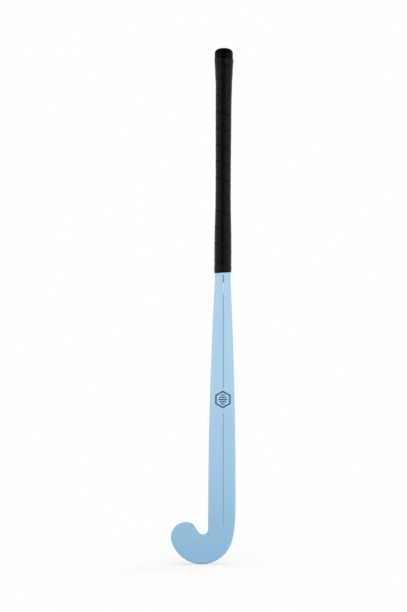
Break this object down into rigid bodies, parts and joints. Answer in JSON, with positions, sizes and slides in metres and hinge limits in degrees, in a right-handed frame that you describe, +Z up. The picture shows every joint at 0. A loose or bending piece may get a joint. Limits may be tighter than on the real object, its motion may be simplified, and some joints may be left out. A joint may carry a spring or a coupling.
{
  "type": "indoor hockey stick",
  "caption": "Indoor hockey stick with a slim hooked head, a flat playing face and a domed back, a tapering painted shaft and a long wound black grip under a rubber end cap.",
  "frame": {"origin": "middle of the bounding box's foot: under the hook's sole, halfway between toe and heel and between the box's front and back", "axes": "+Z up along the stick from the sole to the butt, -Y out of the flat playing face, -X towards the toe"},
  "size_m": [0.116, 0.0444, 0.927],
  "materials": {
    "blue_paint": "pale blue satin paint over a glass-fibre skin",
    "glass_laminate": "unwoven glass in clear resin",
    "mulberry": "bent mulberry ply, glued",
    "cane": "split cane, glued",
    "strip_rubber": "sheet rubber",
    "waxed_twine": "close-wound twine set in glue",
    "cap_rubber": "smooth black rubber, slightly glossy",
    "grip_tape": "black soft grip tape, satin",
    "finishing_tape": "black vinyl tape"
  },
  "bodies": {
    "root": {"glass_fibre_skin": "blue_paint", "face_laminate": "glass_laminate", "back_laminate": "glass_laminate", "mulberry_ply_1": "mulberry", "mulberry_ply_2": "mulberry", "mulberry_ply_3": "mulberry", "mulberry_ply_4": "mulberry", "mulberry_ply_5": "mulberry", "mulberry_ply_6": "mulberry", "mulberry_ply_7": "mulberry", "mulberry_ply_8": "mulberry", "cane_left": "cane", "cane_middle": "cane", "cane_right": "cane", "rubber_strip_left": "strip_rubber", "rubber_strip_right": "strip_rubber", "handle_binding": "waxed_twine", "end_cap": "cap_rubber", "grip_tape": "grip_tape", "finishing_tape": "finishing_tape"}
  },
  "joints": []
}
